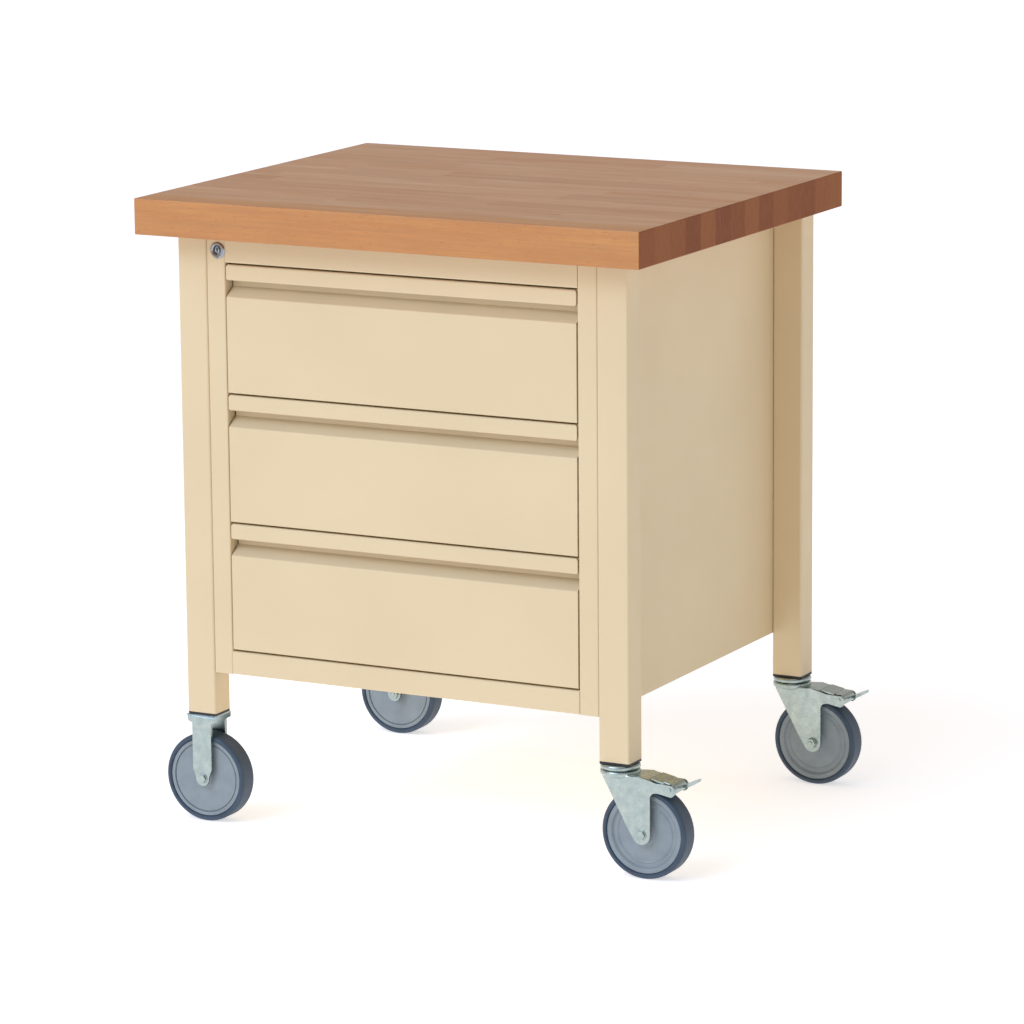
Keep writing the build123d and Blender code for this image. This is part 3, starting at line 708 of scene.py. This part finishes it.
def fixed_fork(corner, *replaced):
    """Fork of one fixed caster; its turned-in flanges are gathered for a piece of their own."""
    centre = joint_place(f"wheel_spin_{corner}_left")
    top = frame_top - axle_z
    lobe = arc((0, 0), 10.5, 10, -190)
    outline = rounded(
        (-plate_half, top), (plate_half, top), (plate_half, top - 9.0, 3.0),
        (blade_half, top - 12.0, 2.5), (blade_half, 14.0, 6.0), *lobe, (-blade_half, 14.0, 6.0),
        (-blade_half, top - 12.0, 2.5), (-plate_half, top - 9.0, 3.0),
    )
    shape = folded_skin(outline, (0, 1), outside, centre)
    low, high = 14.0, top - 12.5
    for side in (-1, 1):
        inner_edge, outer_edge = side * (blade_half - flange_width), side * blade_half
        strip = rounded((inner_edge, low), (outer_edge, low), (outer_edge, high), (inner_edge, high))
        for face in (-1, 1):
            inner = (outside - flange_depth) * face
            outer = (outside - flange_gap) * face
            slab(flanges[corner], strip, *sorted((inner * mm, outer * mm)), centre)
    thickness = fork_sheet * mm
    name = f"fixed_fork_{corner}"
    make_piece(name, shape, "zinc", "bench", *replaced, sheet=thickness, edge=0.5 * mm)


fixed_fork("front", "fixed_forks")
fixed_fork("rear")
for corner, shape in flanges.items():
    make_piece(f"fixed_fork_flanges_{corner}", shape, "zinc", "bench", edge=0.8 * mm)

# %% [markdown]
# ## Swivel heads and forks
# On the right each fork hangs from a ball race: a bright domed cup above, a pressed ring below.
# The fork trails its wheel. Its sides are flat at the back and lean in at the front, with a soft
# ridge between, and they run on behind into an arm that carries the brake.

# %% Swivel casters
trail = 41.0
cup_section = [(6.2, 153.4), (27.0, 153.4, 3.0), (27.4, 147.2, 2.6), (24.5, 146.4), (6.2, 146.4)]
race_section = [
    (6.2, 145.8), (25.0, 145.8, 1.0), (27.4, 144.6, 2.4), (27.2, 138.0, 3.2),
    (23.6, 137.4, 0.6), (23.4, 140.5), (6.2, 140.5),
]


def swivel_caster(corner, *replaced):
    """Fork, upper cup and lower ring of one swivel caster."""
    axis = joint_place(f"swivel_turn_{corner}")
    axis.z = 0
    body = f"swivel_{corner}"
    boss = arc((trail, axle_z), 13.0, 210, 360)
    nose = arc((83.0, 127.0), 8.0, 80, -80)
    outline = rounded(
        (-20.0, 141.0), (38.0, 142.0), (52.0, 140.3), (62.0, 136.0, 6.0), *nose,
        (66.0, 122.4, 10.0), (54.0, 121.5, 8.0), *reversed(boss), (-20.0, 136.0, 2.0),
    )
    shape = folded_skin(outline, (0, 2), outside, axis, bend=4.0, ridge=20.0, lean=11.0)
    name = f"swivel_fork_{corner}"
    make_piece(name, shape, "zinc", body, name, sheet=fork_sheet * mm, edge=0.5 * mm)
    cup, race = bmesh.new(), bmesh.new()
    turned(cup, rounded(*cup_section, steps=5), "Z", axis)
    turned(race, rounded(*race_section, steps=5), "Z", axis)
    make_piece(f"swivel_cup_{corner}", cup, "zinc", "bench", *replaced)
    make_piece(f"swivel_race_{corner}", race, "zinc", body)


swivel_caster("front", "swivel_heads")
swivel_caster("rear")

# %% [markdown]
# ## Brake pedals
# The pedal clasps a pin at the end of the arm. Its saddle is folded sheet with two round cheeks,
# and a thin tongue rises from it to an oval pad for the toe. The tongue is lofted: its width and
# height follow two short formulas along its length.

# %% Brake pedals
cheek_half = 18.0
pad_length, pad_half, neck_half = 24.0, 10.0, 5.0
tongue_start, tongue_end = 86.0, 118.5
tongue_low, tongue_rise, tongue_sheet, pad_lip = 128.5, 15.2, 2.6, 2.4
tongue_steps = 32
tip_half = 0.6
plate_past_cheek = 0.9


def pedal_tongue(shape, axis):
    """Tongue and pad: half width and height along the way from the saddle to the toe."""
    rings = []
    for step in range(tongue_steps + 1):
        along = math.sin(step / tongue_steps * math.pi / 2)
        x = tongue_start + (tongue_end - tongue_start) * along
        share = (x - tongue_start) / (tongue_end - tongue_start)
        into_pad = (x - (tongue_end - pad_length)) / pad_length
        oval = math.sqrt(max(0.0, 1 - (2 * into_pad - 1) ** 2)) if into_pad > 0 else 0.0
        half = max(pad_half * oval, neck_half if into_pad < 0.5 else tip_half)
        z = tongue_low + tongue_rise * share ** 0.9
        thick = tongue_sheet + pad_lip * oval
        rings.append([
            shape.verts.new(axis + Vector((x, side * half, z + up)) * mm)
            for side, up in ((-1, 0), (1, 0), (1, -thick), (-1, -thick))
        ])
    for here, there in zip(rings, rings[1:]):
        for k in range(4):
            shape.faces.new((here[k - 1], here[k], there[k], there[k - 1]))
    shape.faces.new(rings[0])
    shape.faces.new(rings[-1][::-1])


def brake_pedal(corner):
    """Saddle and tongue of one pedal."""
    axis = joint_place(f"swivel_turn_{corner}")
    axis.z = 0
    barrel = arc((82.5, 128.0), 8.0, 75, -150, 12)
    outline = rounded((72.0, 137.0), *barrel, (71.5, 129.0, 2.0))
    shape = folded_skin(outline, (0, 7), cheek_half, axis, bend=2.0)
    body, replaced = f"pedal_{corner}", f"brake_pedal_{corner}"
    make_piece(f"pedal_saddle_{corner}", shape, "zinc", body, replaced, sheet=2 * mm, edge=0.4 * mm)
    tongue = bmesh.new()
    pedal_tongue(tongue, axis)
    plate = rounded((54.0, 141.2), (73.5, 137.2), (73.5, 135.0), (54.0, 139.0))
    reach = (cheek_half + plate_past_cheek) * mm
    slab(tongue, plate, -reach, reach, axis)
    make_piece(f"pedal_tongue_{corner}", tongue, "zinc", body, edge=0.7 * mm)


for corner in ("front", "rear"):
    brake_pedal(corner)

# %% [markdown]
# ## The lock
# A cylinder lock is all circles: a chrome rosette with a sloping rim, a groove, and a barrel with
# a raised plug. They are turned, and a Boolean modifier cuts the keyhole into the barrel, so the
# hole is real depth and goes dark by itself.

# %% Lock
rosette = [
    (6.1, -1.5), (7.2, -0.9, 0.3), (8.6, -2.5, 0.3), (9.4, -2.5, 0.4), (11.5, -0.6, 0.4),
    (11.5, 0.0), (7.9, 0.0), (7.9, 13.5), (6.1, 13.5),
]
barrel_face = [
    (0.05, -1.6), (3.7, -1.6, 0.4), (4.0, 0.6), (4.7, 0.6), (5.1, -1.9, 0.2),
    (5.95, -0.4, 0.3), (5.95, 13.5), (0.05, 13.5),
]
keyhole = [
    (-0.9, -2.9, 0.5), (0.9, -2.9, 0.5), (0.9, 0.4), (1.6, 0.9, 0.6),
    (1.4, 2.9, 0.8), (-1.4, 2.9, 0.8), (-1.6, 0.9, 0.6), (-0.9, 0.4),
]


def lock():
    """Rosette, and the barrel with its keyhole cut in."""
    centre = joint_place("lock_turn")
    ring, barrel, slot = bmesh.new(), bmesh.new(), bmesh.new()
    turned(ring, rounded(*rosette, steps=3), "Y", centre, 72)
    make_piece("lock_rosette", ring, "chrome", "bench", "lock_housing")
    slab(slot, rounded(*keyhole, steps=3), -4 * mm, 5 * mm, centre)
    bmesh.ops.recalc_face_normals(slot, faces=slot.faces)
    mesh = bpy.data.meshes.new("keyhole")
    slot.to_mesh(mesh)
    slot.free()
    cutter = bpy.data.objects.new("keyhole", mesh)
    scene.collection.objects.link(cutter)
    turned(barrel, rounded(*barrel_face, steps=3), "Y", centre, 72)
    make_piece("lock_plug", barrel, "chrome", "lock_barrel", "lock_barrel", cutter=cutter)


lock()

# %% [markdown]
# ## Liners beside the finger recesses
# Where a drawer front dips back for the fingers, the eye could pass its end and see the dark
# inside. A short strip of cream sheet behind each stile's edge closes that view.

# %% Recess liners
recess_low, recess_high = 742.0, 772.0
drawer_pitch = 180.0
liner_sheet = 0.9
stile_edge, liner_back = -262.4, -255.6


def recess_liners():
    """One piece of six strips, two for each drawer."""
    shape = bmesh.new()
    left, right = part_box("cabinet_side_left")[1].x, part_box("cabinet_side_right")[0].x
    for x in (left - liner_sheet * mm, right):
        for drawer in range(3):
            low, high = ((z - drawer * drawer_pitch) * mm for z in (recess_low, recess_high))
            far = x + liner_sheet * mm
            outline = [Vector(corner) for corner in ((x, low), (far, low), (far, high), (x, high))]
            slab(shape, outline, stile_edge * mm, liner_back * mm, Vector((0, 0, 0)))
    make_piece("recess_liners", shape, "cream_paint", "bench", edge=0.15 * mm)


recess_liners()

# %% [markdown]
# ## The floor
# A product picture of this kind is made on a white sweep. A curved backdrop could be built, but a
# wide flat sheet looks the same from every side. It glows a little, as lit paper does.

# %% Floor
floor_reach = 60.0


def studio_floor():
    """A wide sheet of pale paper under the wheels."""
    material, tree, shader, place = new_finish("floor_paper", Roughness=0.9, Emission_Strength=0.55)
    shader.inputs["Emission Color"].default_value = (1.0, 0.98, 0.99, 1)
    drift = noise(tree, place, 1.5)
    tone = ramp(tree, drift, (0.3, (0.86, 0.86, 0.86, 1)), (0.7, (0.88, 0.88, 0.88, 1)))
    tree.links.new(tone, shader.inputs["Base Color"])
    mesh = bpy.data.meshes.new("floor")
    signs = ((-1, -1), (1, -1), (1, 1), (-1, 1))
    corners = [(x * floor_reach, y * floor_reach, 0) for x, y in signs]
    mesh.from_pydata(corners, [], [(0, 1, 2, 3)])
    mesh.materials.append(material)
    floor = bpy.data.objects.new("floor", mesh)
    scene.collection.objects.link(floor)


studio_floor()
print("floor laid,", 2 * floor_reach, "m wide")

# %% [markdown]
# ## Light
# The bench should read clearly, with soft shadows. Lamps close by would fade across the floor, so
# a broad sun stands for a wall of lamps at the front left. Two area lights add a soft key and a
# little light on the top. The sky is bright near the horizon and dims above, which lights the
# upright faces more than the top.

# %% Light
middle = (cad_box[0] + cad_box[1]) / 2


def toward(azimuth, elevation):
    """Unit vector from the bench; azimuth 0 is straight in front, and 90 is to the right."""
    a, e = math.radians(azimuth), math.radians(elevation)
    return Vector((math.sin(a) * math.cos(e), -math.cos(a) * math.cos(e), math.sin(e)))


def soft_light(name, azimuth, elevation, distance, size, power):
    """A square area light that looks at the bench."""
    lamp = bpy.data.lights.new(name, "AREA")
    lamp.size, lamp.energy = size, power
    light = bpy.data.objects.new(name, lamp)
    away = toward(azimuth, elevation)
    light.location = middle + away * distance
    light.rotation_euler = away.to_track_quat("Z", "Y").to_euler()
    scene.collection.objects.link(light)


def studio_sky():
    """World whose colour follows the height above the horizon."""
    world = bpy.data.worlds.new("sky")
    world.use_nodes = True
    tree = world.node_tree
    tree.nodes.clear()
    direction = node(tree, "TexCoord").outputs["Generated"]
    up = node(tree, "SeparateXYZ", {"Vector": direction}).outputs["Z"]
    tone = ramp(
        tree, up,
        (0.0, (0.97, 0.90, 0.84, 1)),
        (0.3, (0.90, 0.84, 0.79, 1)),
        (0.55, (0.4, 0.39, 0.38, 1)),
        (1.0, (0.38, 0.38, 0.38, 1)),
    )
    background = node(tree, "Background", {"Color": tone, "Strength": 0.82})
    node(tree, "OutputWorld", {"Surface": background.outputs["Background"]})
    scene.world = world


def soft_sun(azimuth, elevation, width, power):
    """Even light from one side, as a wall of lamps gives it: it doesn't fade across the floor."""
    lamp = bpy.data.lights.new("sun", "SUN")
    lamp.angle = math.radians(width)
    lamp.energy = power
    lamp.color = (0.82, 1.0, 1.40)
    light = bpy.data.objects.new("sun", lamp)
    light.rotation_euler = toward(azimuth, elevation).to_track_quat("Z", "Y").to_euler()
    scene.collection.objects.link(light)


studio_sky()
soft_sun(-25, 42, 45, 1.02)
soft_light("key", -30, 35, 4.0, 1.1, 16)
soft_light("top", 0, 88, 2.8, 2.2, 10)
scene.view_settings.view_transform = "Standard"
print("lights set round", tuple(round(v, 3) for v in middle))

# %% [markdown]
# ## Camera
# The picture is taken from the front right, a little above the top, with a long lens, so that
# upright edges stay nearly parallel. The camera is placed by an aim point, a distance and two
# angles, which are easier to judge than coordinates.

# %% Camera
aim = Vector((-0.0012, -0.0049, 0.4216))
distance, azimuth, elevation, roll = 6.8564, 27.779, 11.604, -0.498
camera = bpy.data.objects.new("camera", bpy.data.cameras.new("camera"))
camera.data.sensor_width, camera.data.lens = 36.0, 172.76
back = toward(azimuth, elevation)
right = Vector((math.cos(math.radians(azimuth)), math.sin(math.radians(azimuth)), 0))
turn = Matrix.Rotation(math.radians(roll), 3, back)
axes = Matrix((turn @ right, turn @ back.cross(right), back)).transposed()
camera.matrix_world = Matrix.Translation(aim + back * distance) @ axes.to_4x4()
scene.collection.objects.link(camera)
scene.camera = camera
print("camera at", tuple(round(v, 3) for v in camera.matrix_world.translation))
